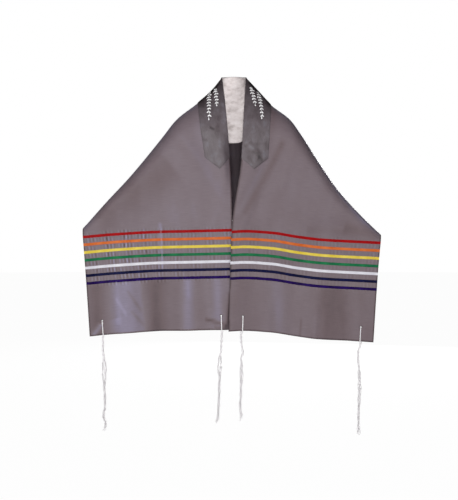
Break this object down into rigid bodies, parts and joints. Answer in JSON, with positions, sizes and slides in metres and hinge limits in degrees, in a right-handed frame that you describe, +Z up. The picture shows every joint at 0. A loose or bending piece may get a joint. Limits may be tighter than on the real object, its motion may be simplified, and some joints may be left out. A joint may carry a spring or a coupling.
{
  "type": "tallit prayer shawl, worn",
  "caption": "Prayer shawl as worn: one cloth over neck, shoulders and arms, with a neckband, rainbow ribbons across both front ends and corner tassels.",
  "frame": {"origin": "the nape: middle of the neck edge at the back of the neck, where the wearer's neck holds the shawl", "axes": "+Z up, -Y the way the wearer faces, +X to the right of someone who looks at the fronts"},
  "size_m": [1.0847, 0.2339, 1.3367],
  "materials": {
    "taffeta": "changeant mauve-grey taffeta with a soft bluish sheen",
    "satin": null,
    "lining": "pale plain lining fabric",
    "red": "satin ribbon, red",
    "orange": "satin ribbon, orange",
    "yellow": "satin ribbon, yellow",
    "green": "satin ribbon, green",
    "white": "satin ribbon, white",
    "navy": "satin ribbon, navy",
    "purple": "satin ribbon, purple",
    "wool": "white twisted wool yarn"
  },
  "bodies": {
    "root": {"tallit_cloth": "taffeta", "atarah": "satin", "neck_lining": "lining", "ribbon_left_1_red": "red", "ribbon_left_2_orange": "orange", "ribbon_left_3_yellow": "yellow", "ribbon_left_4_green": "green", "ribbon_left_5_white": "white", "ribbon_left_6_navy": "navy", "ribbon_left_7_purple": "purple", "ribbon_right_1_red": "red", "ribbon_right_2_orange": "orange", "ribbon_right_3_yellow": "yellow", "ribbon_right_4_green": "green", "ribbon_right_5_white": "white", "ribbon_right_6_navy": "navy", "ribbon_right_7_purple": "purple", "tzitzit_left_outer": "wool", "tzitzit_left_inner": "wool", "tzitzit_right_inner": "wool", "tzitzit_right_outer": "wool"}
  },
  "joints": []
}
